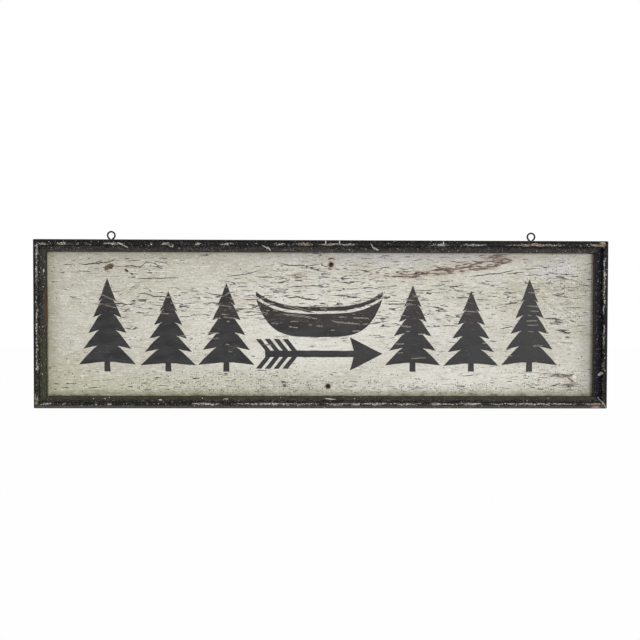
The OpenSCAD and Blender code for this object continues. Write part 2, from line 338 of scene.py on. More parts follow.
def crackle_lines():
    """Wavy hairline cracks that run with the grain, as the level lines of a drawn-out noise."""
    def wire(s, given):
        place, width = given["Vector"], given["Width"]
        x, _, z = s.parts(place)
        sway = s.line(s.cloud(place, 6.0, 1.0), 0.06, -0.03)
        swayed = s.joined(x, 0.0, s.plus(z, sway))
        height = s.times(s.cloud(swayed, 10.0, 4.0, 0.52, stretch=(1, 1, 7)), 5.0)
        off_level = s.off(s.calc("FRACT", height), 0.5)
        start = s.line(given["Amount"], -0.34, 0.7)
        patchy = s.cloud(place, 30.0, 2.0, 0.6, stretch=(0.6, 1, 4))
        broken = s.step(patchy, start, s.plus(start, 0.05))
        crack = s.step(off_level, width, s.times(width, 0.35))
        # The lift is the raised rim of paint beside each crack: it gives relief, and the cream
        # paints a highlight on it
        rim_lift_and_highlight = s.step(off_level, s.times(width, 3.0), width)
        return s.times(crack, broken), s.times(rim_lift_and_highlight, broken)

    return shared_effect("crackle_lines", {"Amount": 0.3, "Width": 0.12}, ("Crack", "Lift"), wire)


def wood_grain():
    """Long fibres along X, short dark ticks between them, and slow bands of early and late wood."""
    def wire(s, given):
        place = given["Vector"]
        fibres = s.cloud(place, 34.0, 5.0, 0.72, stretch=(1, 8, 8))
        short = s.cloud(place, 62.0, 2.0, 0.6, stretch=(0.42, 10.5, 10.5))
        level = s.line(given["Amount"], -0.2, 0.77)
        ticks = s.step(short, level, s.plus(level, 0.03))
        bands = s.cloud(place, 3.4, 4.0, 0.55, 0.6, stretch=(1, 9, 9))
        rings = s.calc("PINGPONG", s.times(bands, 9.0), 0.5)
        return fibres, ticks, s.times(rings, 2.0)

    return shared_effect("wood_grain", {"Amount": 0.4}, ("Fibres", "Ticks", "Rings"), wire)


def speckle():
    """Small dots of uneven size in random places."""
    def wire(s, given):
        cells = s.add("TexVoronoi", {"Vector": given["Vector"], "Scale": given["Scale"]}).outputs
        chance, spread, _ = s.parts(cells["Color"])
        size = s.line(spread, 0.28, 0.08)
        dot = s.step(cells["Distance"], s.plus(size, 0.1), size)
        return [s.times(dot, s.calc("LESS_THAN", chance, given["Share"]))]

    return shared_effect("speckle", {"Scale": 220.0, "Share": 0.15}, ("Dots",), wire)


def patches():
    """Uneven patches: noise cut at a level that a share sets, drawn out along X by the stretch."""
    def wire(s, given):
        x, y, z = s.parts(given["Vector"])
        drawn = s.joined(x, s.times(y, given["Stretch"]), s.times(z, given["Stretch"]))
        level = s.line(given["Share"], -0.5, 0.78)
        grain = s.cloud(drawn, given["Scale"], 4.0, 0.62)
        return (s.step(grain, level, s.plus(level, given["Edge"])),
                s.step(grain, s.minus(level, 0.07), level))

    return shared_effect("patches", {"Scale": 30.0, "Stretch": 5.0, "Share": 0.3, "Edge": 0.06},
                         ("Patch", "Halo"), wire)


def new_material(name):
    """A material, its nodes and its object coordinates, with the surface still to be joined up."""
    material = bpy.data.materials.new(name)
    s = fresh_nodes(material)
    return material, s, s.add("TexCoord").outputs["Object"]


def finish_material(s, colour, roughness, height, relief, metallic=0.0, specular=0.18):
    """Joins colour, roughness and relief to the surface shader."""
    bump = s.add("Bump", {"Height": height, "Distance": relief, "Strength": 1.0})
    surface = s.add("BsdfPrincipled", {"Base Color": colour, "Roughness": roughness,
                                       "Metallic": metallic, "Normal": bump.outputs[0],
                                       "Specular IOR Level": specular})
    s.add("OutputMaterial", {"Surface": surface.outputs[0]})
    s.lay_out()


# Where the face is most worn: x, z and the reaches of each oval, then its slope in degrees
HEAVY_CRACKLE = (
    (0.039, 0.264, 0.27, 0.085, -2), (-0.252, 0.216, 0.33, 0.045, -3), (0.301, 0.238, 0.2, 0.05, 0),
    (-0.471, 0.307, 0.1, 0.02, 3), (-0.362, 0.303, 0.09, 0.025, 8), (-0.001, 0.202, 0.5, 0.04, -2),
    (0.505, 0.27, 0.11, 0.05, 0))
TEARS = (
    (0.31, 0.302, 0.17, 0.021, 7), (0.199, 0.286, 0.12, 0.014, 4), (0.381, 0.325, 0.07, 0.012, 0),
    (-0.049, 0.283, 0.03, 0.014, 0), (0.385, 0.316, 0.055, 0.017, 4))
FLAKED = (
    (-0.451, 0.3, 0.05, 0.02, 20), (0.022, 0.317, 0.03, 0.01, 0), (0.535, 0.065, 0.02, 0.02, 0))
SPECKLED = (
    (0.505, 0.06, 0.13, 0.04, -6), (-0.001, 0.042, 0.62, 0.026, 0), (-0.202, 0.057, 0.3, 0.03, 0),
    (0.533, 0.254, 0.1, 0.1, 0))
LILAC = ((0.16, 0.322, 0.4, 0.028, 0), (0.5, 0.3, 0.07, 0.04, 0))
OLIVE = ((-0.3, 0.045, 0.36, 0.045, 0), (-0.56, 0.06, 0.1, 0.07, 0))
DIM = ((-0.52, 0.31, 0.3, 0.09, 0), (-0.59, 0.18, 0.06, 0.2, 0))
BRIGHT = ((0.02, 0.185, 0.56, 0.15, 0), (0.3, 0.065, 0.42, 0.06, 0), (-0.02, 0.12, 0.4, 0.08, 0))
KNOTS = (
    (0.509, 0.188, 0.022, 0.007, -8), (0.524, 0.164, 0.02, 0.006, -14),
    (0.52, 0.07, 0.03, 0.006, 0), (0.54, 0.048, 0.03, 0.006, 0), (-0.082, 0.052, 0.006, 0.012, 20),
    (-0.402, 0.256, 0.02, 0.006, 40))
SCREW_STAINS = (
    (*UPPER_SCREW, 0.011, 0.01, 0), (*LOWER_SCREW, 0.011, 0.011, 0),
    (0.016, 0.2988, 0.006, 0.006, 60))
BRIGHT_CHIPS = ((0.5458, 0.0669, 0.006, 0.0035, -30),)
# Splits in the paint that run with the grain: greatest width, then the places they pass
SPLITS = (
    (0.002, (-0.521, 0.308), (-0.506, 0.306), (-0.482, 0.308), (-0.457, 0.311), (-0.444, 0.316),
     (-0.432, 0.314)),
    (0.0013, (-0.523, 0.292), (-0.498, 0.291), (-0.489, 0.287)),
    (0.0014, (-0.56, 0.288), (-0.549, 0.288)),
    (0.0018, (-0.424, 0.301), (-0.407, 0.303), (-0.387, 0.301), (-0.377, 0.311), (-0.366, 0.314)),
    (0.0011, (-0.36, 0.314), (-0.33, 0.308)),
    (0.0015, (-0.402, 0.276), (-0.334, 0.277), (-0.302, 0.278)),
    (0.0016, (-0.483, 0.241), (-0.469, 0.241), (-0.457, 0.235), (-0.437, 0.227), (-0.428, 0.225)),
    (0.0013, (-0.492, 0.222), (-0.469, 0.221), (-0.439, 0.213)),
    (0.0018, (-0.398, 0.243), (-0.379, 0.245), (-0.36, 0.238), (-0.317, 0.236)),
    (0.0013, (-0.21, 0.28), (-0.163, 0.286), (-0.137, 0.293), (-0.129, 0.3)),
    (0.0016, (-0.253, 0.248), (-0.231, 0.242), (-0.21, 0.24), (-0.199, 0.246), (-0.184, 0.248)),
    (0.0014, (-0.172, 0.231), (-0.142, 0.232), (-0.114, 0.236)),
    (0.0013, (-0.169, 0.207), (-0.116, 0.203)),
    (0.0016, (-0.103, 0.308), (-0.082, 0.308), (-0.067, 0.305), (-0.033, 0.304), (-0.009, 0.307),
     (0.007, 0.313)),
    (0.0028, (0.011, 0.317), (0.016, 0.32), (0.023, 0.32), (0.029, 0.317)),
    (0.0023, (-0.083, 0.239), (-0.067, 0.236), (-0.052, 0.238), (-0.036, 0.233), (-0.011, 0.231)),
    (0.003, (-0.083, 0.219), (-0.067, 0.216), (-0.052, 0.212), (-0.033, 0.207), (-0.014, 0.204)),
    (0.002, (-0.083, 0.2), (-0.052, 0.198), (-0.011, 0.191)),
    (0.0016, (-0.09, 0.269), (-0.07, 0.273)), (0.002, (-0.061, 0.273), (-0.041, 0.273)),
    (0.0018, (-0.011, 0.281), (0.019, 0.28)),
    (0.0019, (0.02, 0.241), (0.045, 0.241), (0.062, 0.238), (0.086, 0.236)),
    (0.0015, (0.069, 0.228), (0.086, 0.23)),
    (0.0018, (0.126, 0.224), (0.146, 0.223), (0.181, 0.223), (0.202, 0.221)),
    (0.0015, (0.066, 0.193), (0.088, 0.193), (0.101, 0.191)),
    (0.0014, (0.02, 0.188), (0.03, 0.184), (0.052, 0.182), (0.081, 0.18)),
    (0.0015, (0.147, 0.179), (0.159, 0.181), (0.174, 0.175), (0.191, 0.174)),
    (0.0014, (0.251, 0.221), (0.274, 0.217)),
    (0.0015, (0.256, 0.176), (0.276, 0.177), (0.295, 0.176)),
    (0.0017, (0.381, 0.169), (0.407, 0.175), (0.416, 0.174)),
    (0.0019, (0.474, 0.192), (0.502, 0.193), (0.52, 0.188)),
    (0.0015, (0.489, 0.182), (0.516, 0.18)),
    (0.0022, (0.503, 0.167), (0.52, 0.166), (0.531, 0.161), (0.539, 0.163)),
    (0.0017, (0.534, 0.189), (0.544, 0.187)), (0.0017, (-0.574, 0.039), (-0.567, 0.039)),
    (0.0014, (-0.573, 0.051), (-0.562, 0.05)), (0.0017, (0.513, 0.07), (0.527, 0.0719)),
    (0.0016, (0.532, 0.073), (0.545, 0.071)), (0.0015, (0.495, 0.047), (0.517, 0.052)),
    (0.0015, (0.527, 0.046), (0.556, 0.047)), (0.0014, (0.361, 0.054), (0.374, 0.053)),
    (0.0012, (0.509, 0.3129), (0.523, 0.3138)),
    (0.001, (0.426, 0.2986), (0.443, 0.2995), (0.469, 0.3001)),
    (0.0012, (0.437, 0.2849), (0.458, 0.2867), (0.478, 0.2855)),
    (0.0013, (0.502, 0.283), (0.51, 0.2813), (0.521, 0.2813)),
    (0.0011, (0.506, 0.2752), (0.528, 0.2766), (0.549, 0.2751)),
    (0.0014, (0.554, 0.2655), (0.565, 0.2642), (0.578, 0.2651)),
    (0.0011, (0.51, 0.2578), (0.534, 0.2592), (0.556, 0.2586)),
    (0.001, (0.529, 0.2531), (0.545, 0.2536)),
    (0.0014, (0.504, 0.2466), (0.513, 0.2451), (0.524, 0.246)),
    (0.001, (0.517, 0.2149), (0.539, 0.2163), (0.567, 0.2155)),
    (0.0012, (0.561, 0.2058), (0.574, 0.2052)),
    (0.0019, (0.221, 0.2914), (0.245, 0.297), (0.291, 0.298), (0.309, 0.3017), (0.329, 0.302)),
    (0.0017, (0.311, 0.282), (0.344, 0.285), (0.36, 0.288), (0.381, 0.289), (0.393, 0.292),
     (0.42, 0.298)),
    (0.0016, (0.272, 0.316), (0.291, 0.313), (0.316, 0.314)))
# Torn to the wood in strands: both ends x, z, the height of the bundle, the number of strands
TORN = (
    (0.224, 0.2864, 0.288, 0.289, 0.0075, 4), (0.334, 0.3008, 0.389, 0.302, 0.0085, 4),
    (0.34, 0.3198, 0.363, 0.3219, 0.006, 3), (0.363, 0.3129, 0.404, 0.3141, 0.009, 4),
    (0.18, 0.3003, 0.205, 0.301, 0.003, 1), (0.295, 0.323, 0.33, 0.325, 0.003, 1))
# Flakes: middle x, z, reaches and slope
FLAKES = (
    (-0.455, 0.301, 0.0125, 0.0062, 26), (-0.418, 0.293, 0.005, 0.0024, -35),
    (-0.407, 0.2864, 0.0045, 0.0016, -20), (-0.572, 0.2988, 0.0014, 0.0012, 0),
    (-0.576, 0.2905, 0.0014, 0.0012, 0), (0.538, 0.06, 0.009, 0.0016, -38))
# Where short splits are scattered: x, z, reaches, slope and number
SCATTERED = (
    (0.028, 0.267, 0.24, 0.05, -1, 70), (-0.252, 0.222, 0.26, 0.03, -2, 30),
    (0.301, 0.238, 0.2, 0.035, 0, 26), (-0.001, 0.202, 0.3, 0.03, -3, 24),
    (0.33, 0.308, 0.15, 0.022, 3, 26), (0.474, 0.058, 0.11, 0.02, 0, 22),
    (-0.402, 0.047, 0.17, 0.014, 0, 14), (0.504, 0.183, 0.075, 0.035, -2, 22),
    (-0.461, 0.299, 0.11, 0.022, 2, 14), (0.149, 0.313, 0.12, 0.014, 2, 12),
    (-0.001, 0.132, 0.55, 0.035, 0, 24))
# Knots where branches grew, in the wood's own run: along the grain, across it, reaches and slope
BRANCH_KNOTS = (
    (-0.41, 0.255, 0.017, 0.009, 5), (0.29, 0.118, 0.014, 0.008, -8), (0.52, 0.284, 0.01, 0.006, 0),
    (-0.16, 0.072, 0.011, 0.006, 12), (0.245, 0.012, 0.011, 0.007, 0))
# How far in the face painted shade reaches from the right and from the top, and how far
# the line of dirt and painted shade along its bottom wanders
SHADE_RIGHT, SHADE_TOP, SMUDGE = 0.045, 0.03, 0.026
# Where the olive dirt and painted shade start and are full, in from the left and up, and the
# dark line of dirt and painted shade below it
OLIVE_LEFT, OLIVE_LOW, DARK_LOW = (0.034, 0.001), (0.032, 0.012), (0.0165, 0.011)


def face_wear(s, place):
    """Where the face is most cracked, and the cracks, grain, tears and dots of both its paints."""
    crackle = bpy.context.scene.sign_finish.crackle
    heavy = s.ovals(place, HEAVY_CRACKLE)
    cracks = s.use(crackle_lines, place, Amount=s.line(heavy, 0.6 * crackle, 0.3), Width=0.11)
    grain = s.use(wood_grain, place, Amount=s.line(heavy, 0.15, 0.3))
    torn = s.use(patches, place, Scale=60.0, Stretch=6.0, Edge=0.025,
                 Share=s.times(s.ovals(place, TEARS, 0.8), 0.58))
    dots = s.use(speckle, place, Scale=240.0,
                 Share=s.line(s.ovals(place, SPECKLED), 0.4, 0.035))
    return heavy, cracks, grain, torn, dots["Dots"]


def bare_wood(s, fibres):
    """Colour of the wood where the paint has gone."""
    finish = bpy.context.scene.sign_finish
    return s.blend(s.step(fibres, 0.36, 0.64), finish.bare, "old_wood")


def cream_paint(name):
    """Old cream paint: crackled, stained, torn to the wood in places and dirty along its edges."""
    finish = bpy.context.scene.sign_finish
    material, s, place = new_material(name)
    heavy, cracks, grain, torn, dots = face_wear(s, place)
    x, _, z = s.parts(place)
    fibres = grain["Fibres"]
    stains = s.cloud(place, 5.0, 5.0, 0.65, stretch=(1, 1, 2.2))
    rosy = s.step(s.cloud(place, 14.0, 3.0, 0.6, stretch=(1, 1, 3)), 0.48, 0.68)
    pale = s.step(s.cloud(place, 60.0, 4.0, 0.7, stretch=(1, 1, 5)), 0.54, 0.64, 0, 0.62)
    fine = s.cloud(place, 300.0, 2.0, 0.7, stretch=(1, 1, 1.8))
    around_tears = s.ovals(place, TEARS + FLAKED, 0.9)
    rough = s.ovals(place, HEAVY_CRACKLE + SPECKLED, 0.7)
    hair = s.use(crackle_lines, s.stretched(place, (1.5, 1.5, 2.1), (3, 0, 2)),
                 Amount=s.line(rough, 0.35, 0.22), Width=0.14)
    knots = s.times(s.ovals(place, KNOTS), s.step(fibres, 0.42, 0.56))
    screw_rust = s.blend(s.step(z, 0.1, 0.2), "lower_screw_stain", "upper_screw_stain")
    smudge = s.cloud(place, 36.0, 4.0, 0.7, stretch=(1, 1, 2))
    low = s.minus(s.plus(z, s.times(smudge, SMUDGE)), OPENING_LOW)
    # Painted shade: the face greys towards the right side and the top of the moulding, which shade
    # it
    painted_rim_shade = s.strongest(s.step(x, OPENING_X - SHADE_RIGHT, OPENING_X, 0, 0.4),
                         s.step(z, OPENING_HIGH - SHADE_TOP, OPENING_HIGH, 0, 0.3))
    # Olive dirt with painted shade along the left side and the bottom of the face
    dirt_and_shade = s.strongest(s.step(x, *[reach - OPENING_X for reach in OLIVE_LEFT], 0, 0.55),
                        s.step(low, *OLIVE_LOW))
    colour = s.coats(
        finish.cream,
        (s.step(stains, 0.4, 0.66), finish.stain),
        (s.ovals(place, DIM, 1.0), "dim_cream", 0.35),
        (s.ovals(place, BRIGHT, 0.9), "bright_cream", 0.85),
        (s.ovals(place, LILAC, 0.8), "lilac_cream", 0.6),
        (s.ovals(place, OLIVE, 0.9), "olive_cream", 0.55),
        (s.times(rosy, s.line(heavy, 0.4, 0.1)), "rosy_cream"),
        (s.step(fibres, 0.48, 0.68, 0.0, 0.5), "shaded_cream"),
        (pale, "pale_streak"),
        (s.step(fine, 0.52, 0.7, 0, 0.42), "fine_dirt"),
        (s.step(fine, 0.46, 0.3, 0, 0.5), "fine_light"),
        # painted highlight on the raised rims beside the cracks and the hairlines
        (cracks["Lift"], "lifted_rim_highlight", 0.6),
        (s.times(around_tears, s.step(stains, 0.3, 0.7, 0.2, 0.55)), "pink_cream"),
        (torn["Halo"], "torn_rim", 0.5),
        (torn["Patch"], bare_wood(s, fibres), 0.9),
        (hair["Lift"], "lifted_rim_highlight", 0.4),
        (hair["Crack"], finish.grime, 0.7),
        (s.times(grain["Ticks"], s.line(heavy, 0.25, 0.52)), finish.grime),
        (knots, finish.grime, 0.85),
        (dots, finish.grime, 0.85),
        (cracks["Crack"], finish.grime, 0.92),
        (s.ovals(place, SCREW_STAINS, 0.9), screw_rust, 0.8),
        (s.ovals(place, BRIGHT_CHIPS, 0.4), "fresh_chip"),
        # painted shade beside the right side and under the top of the moulding
        (painted_rim_shade, "painted_shade_grey"),
        # olive dirt and painted shade along the left and the bottom, then a darker line of both at
        # the foot
        (dirt_and_shade, "olive_rim", 0.62),
        (s.step(low, *DARK_LOW), "dirt_and_shade_line", 0.6))
    height = s.total(s.times(cracks["Lift"], 0.35), (cracks["Crack"], -0.8), (torn["Patch"], -0.8),
                     (fibres, 1.0), (grain["Ticks"], -0.5))
    finish_material(s, colour, s.step(stains, 0.3, 0.8, 0.5, 0.75), height, 0.0008)
    return material


def shape_paint(name):
    """Black paint of the shapes: thinner, so that the same cracks and tears show through it."""
    material, s, place = new_material(name)
    heavy, cracks, grain, torn, dots = face_wear(s, place)
    fibres = grain["Fibres"]
    tone = s.cloud(place, 16.0, 3.0, 0.6, stretch=(1, 1, 3))
    chips = s.use(patches, place, Scale=64.0, Stretch=7.0, Share=s.times(heavy, 0.4))
    worn = s.blend(s.step(fibres, 0.4, 0.6), "worn_pale", "worn_brown")
    colour = s.coats(
        bpy.context.scene.sign_finish.black,
        (s.step(tone, 0.35, 0.65), "faded_black"),
        (s.step(fibres, 0.5, 0.75, 0, 0.3), "black_on_fibres"),
        (heavy, "warm_black", 0.16),
        (torn["Patch"], worn, 0.6),
        (chips["Patch"], worn, 0.85),
        (cracks["Crack"], "cracked_black", 0.3),
        (dots, "dotted_black", 0.3))
    height = s.total(s.times(tone, 0.4), (cracks["Crack"], -1.0), (chips["Patch"], -0.6))
    finish_material(s, colour, s.step(tone, 0.3, 0.8, 0.45, 0.65), height, 0.0003)
    return material


def raw_wood(name, tone, dark, upright=False, under_paint=False):
    """Old bare pine, its grain along X or upright. Under the paint it is grimy or rubbed."""
    finish = bpy.context.scene.sign_finish
    material, s, place = new_material(name)
    x, y, z = s.parts(place)
    run = s.joined(z, y, x) if upright else place
    grain = s.use(wood_grain, run, Amount=0.5)
    fibres = grain["Fibres"]
    stains = s.cloud(place, 7.0, 4.0, 0.6)
    streaks = s.cloud(run, 12.0, 4.0, 0.6, stretch=(0.5, 6, 6))
    rim = s.strongest(s.step(s.calc("ABSOLUTE", x), OPENING_X - 0.04, OPENING_X),
                      s.step(s.off(z, HEIGHT / 2), HEIGHT / 2 - 0.06, HEIGHT / 2 - MOULDING))
    colour = s.coats(
        tone,
        (grain["Rings"], dark),
        (s.step(fibres, 0.35, 0.75, 0, 0.6), dark),
        (s.step(stains, 0.42, 0.7, 0, 0.7), "wood_stain"),
        (s.step(streaks, 0.52, 0.68, 0, 0.45), "wood_streak"),
        (grain["Ticks"], "wood_tick", 0.7),
        (s.times(rim, s.step(stains, 0.3, 0.6, 0.2, 0.8)), "damp_wood"),
        (s.ovals(run, BRANCH_KNOTS, 0.8), "branch_knot", 0.75))
    if under_paint:
        gone = s.ovals(place, TEARS + FLAKED, 0.3)
        hidden = s.blend(gone, finish.grime, bare_wood(s, fibres))
        colour = s.blend(s.step(y, FACE + 0.0006, FACE + 0.0002), colour, hidden)
    height = s.total(fibres, (grain["Rings"], 0.4))
    finish_material(s, colour, s.step(stains, 0.3, 0.7, 0.62, 0.85), height, 0.0004, specular=0.25)
    return material


# The moulding's section in metres. Inward starts at its outer side, behind at the front of its
# crest, and a pair is where a smooth step in the paint starts and ends.
FACING = (0.016, 0.009)
CREST_FRONT = (0.005, 0.0035)
BEAD_OUTSIDE, SIDE_LEVEL = (0.0082, 0.0062), (0.014, 0.007)
BEAD_INSIDE, BEAD_LEVEL = (0.0148, 0.0126), (0.014, 0.009)
FLAT_BEGINS, FLAT_LEVEL = (0.0175, 0.0198), (0.0098, 0.0088)
ARRIS, ARRIS_NICKS = 0.0196, (0.0016, 0.0003)
LIP, LIP_NICKS, WALL_FADE = (0.0244, 0.0249), (0.001, 0.0001), 0.0028
SHOULDER, BACK_ARRIS = (0.012, 0.018), (0.0365, 0.041)
# Half the width of the worn band and of the bright thread on the crest, and how far both wander
BAND, THREAD, WANDER = (0.0048, 0.0016), (0.0013, 0.0005), 0.004
# Reach of a worn stretch across the crest, wide enough for the whole band
CREST_REACH = 0.02
# A brown streak low on the left side: place along it, inward, and its reaches
BROWN_STREAK = (0.212, 0.0236, 0.075, 0.0045)
# How metallic rust is
RUST_METAL = 0.1

# The look of each side: chips of the crest's tint, the colour of its dusty flat, the inner wall and
# the outer edge; how rubbed and how dark; where the crest is and the wall starts; how specked; then
# where its outer side is, which way inward runs, and a shift that sets its pattern apart. The sides
# are lit and shaded copies of one black paint: painted light on the flat and inner wall of the left
# and on the flat of the bottom, painted shade in the darker blue-black of the whole right side, and
# painted shade, near black, on the outer edge of the top and the sides; on the bottom that edge is
# a paler grey.
SIDES = {
    "top": dict(tint=(60, 57, 56), dust_light_and_shade=(64, 61, 59), wall=(66, 63, 60), rim=(13, 12, 12),
                rub=0.7, dark=0.9, crest=0.0102, deep=0.0094, speck=0.55,
                outer=HEIGHT, turn=-1, apart=0.0),
    "bottom": dict(tint=(58, 57, 50), dust_light_and_shade=(76, 72, 57), wall=(84, 80, 58), rim=(104, 103, 96),
                   rub=1.0, dark=0.5, crest=0.0111, deep=0.0094, speck=0.55,
                   outer=0.0, turn=1, apart=1.3),
    "left": dict(tint=(48, 51, 46), dust_light_and_shade=(76, 75, 60), wall=(178, 172, 146), rim=(13, 12, 12),
                 rub=1.0, dark=0.9, crest=0.0100, deep=0.0138, speck=0.55,
                 outer=LENGTH / 2, turn=1, apart=2.7),
    "right": dict(tint=(9, 8, 30), dust_light_and_shade=(9, 8, 30), wall=(92, 88, 82), rim=(13, 12, 12),
                  rub=0.8, dark=0.9, crest=0.0110, deep=0.0094, speck=0.12,
                  outer=LENGTH / 2, turn=-1, apart=4.1)}
# Corners where the black paint has gone to the wood: x, z, reaches and slope
BARE_CORNERS = (
    (0.584, 0.006, 0.032, 0.01, 0), (0.6, 0.01, 0.016, 0.004, 45), (-0.602, 0.019, 0.009, 0.024, 0),
    (0.594, 0.35, 0.026, 0.012, -10), (-0.039, 0.349, 0.03, 0.006, 0))
# Stretches of the crest where the paint is worn: place along the side, reach, how much, how bare
WORN = {
    "top": (
        (-0.586, 0.024, 0.8, 0), (-0.545, 0.02, 0.9, 0), (-0.512, 0.006, 0.7, 0),
        (-0.49, 0.014, 0.55, 0), (-0.435, 0.026, 0.8, 0.2), (-0.359, 0.008, 0.7, 0),
        (-0.329, 0.02, 0.9, 0), (-0.293, 0.02, 0.4, 0), (-0.261, 0.012, 0.9, 0),
        (-0.2, 0.02, 0.8, 0), (-0.087, 0.026, 0.8, 0.3), (-0.039, 0.028, 1.2, 1),
        (0.02, 0.024, 0.9, 0.4), (0.056, 0.024, 0.8, 0.3), (0.178, 0.034, 0.3, 0),
        (0.248, 0.028, 1.0, 0.1), (0.321, 0.032, 0.8, 0.2), (0.452, 0.07, 1.2, 0.7),
        (0.583, 0.028, 1.2, 0.9)),
    "bottom": (
        (-0.582, 0.024, 0.9, 0.3), (-0.543, 0.006, 0.8, 0), (-0.476, 0.008, 0.8, 0),
        (-0.45, 0.018, 0.7, 0.2), (-0.369, 0.01, 0.6, 0), (-0.244, 0.04, 1.0, 0),
        (-0.108, 0.096, 0.9, 0), (-0.026, 0.032, 0.7, 0), (0.035, 0.036, 1.0, 0.5),
        (0.072, 0.018, 1.0, 0), (0.115, 0.036, 1.0, 0), (0.175, 0.036, 1.0, 0.5),
        (0.243, 0.026, 1.0, 0), (0.316, 0.032, 1.1, 0), (0.448, 0.11, 0.7, 0.1),
        (0.58, 0.034, 1.2, 0.8)),
    "left": (
        (0.33, 0.03, 0.9, 0), (0.285, 0.032, 0.7, 0), (0.18, 0.19, 0.5, 0), (0.087, 0.02, 0.8, 0),
        (0.052, 0.02, 0.45, 0), (0.019, 0.022, 1.0, 0.9)),
    "right": (
        (0.315, 0.028, 0.8, 0), (0.26, 0.075, 0.9, 0), (0.153, 0.048, 0.6, 0),
        (0.093, 0.02, 1.0, 0.1), (0.05, 0.026, 0.55, 0), (0.011, 0.014, 0.8, 0.3))}
# Bright threads where the very crest is rubbed: place along the side and reach along it
THREADS = {
    "top": (
        (-0.437, 0.024), (-0.2, 0.018), (0.02, 0.03), (0.056, 0.02), (0.321, 0.026),
        (0.452, 0.066)),
    "bottom": (
        (-0.244, 0.034), (-0.108, 0.09), (0.06, 0.06), (0.175, 0.04), (0.29, 0.06), (0.448, 0.104)),
    "left": ((0.3, 0.04), (0.16, 0.09)),
    "right": ((0.28, 0.05), (0.225, 0.03), (0.155, 0.03))}
# Single scratches and chips: x, z, reaches and slope
SCRATCHES = (
    (0.007, 0.3525, 0.0014, 0.006, 0), (0.036, 0.3525, 0.0014, 0.006, 0),
    (-0.12, 0.3425, 0.009, 0.0013, -25), (-0.113, 0.3395, 0.007, 0.0013, -50),
    (0.107, 0.3435, 0.008, 0.0012, -50), (0.115, 0.3395, 0.007, 0.0012, -30),
    (-0.42, 0.3455, 0.013, 0.0014, -28), (-0.322, 0.344, 0.004, 0.0012, -40),
    (-0.316, 0.344, 0.004, 0.0012, 45), (0.256, 0.3505, 0.0013, 0.006, 0),
    (-0.3436, 0.018, 0.004, 0.0014, 0), (-0.203, 0.02, 0.005, 0.001, 0),
    (0.017, 0.02, 0.014, 0.0012, -6), (-0.5889, 0.2916, 0.0016, 0.005, 0),
    (0.598, 0.0135, 0.016, 0.0012, -58), (0.5945, 0.0744, 0.0026, 0.006, -25),
    (0.6, 0.285, 0.004, 0.0012, 20))


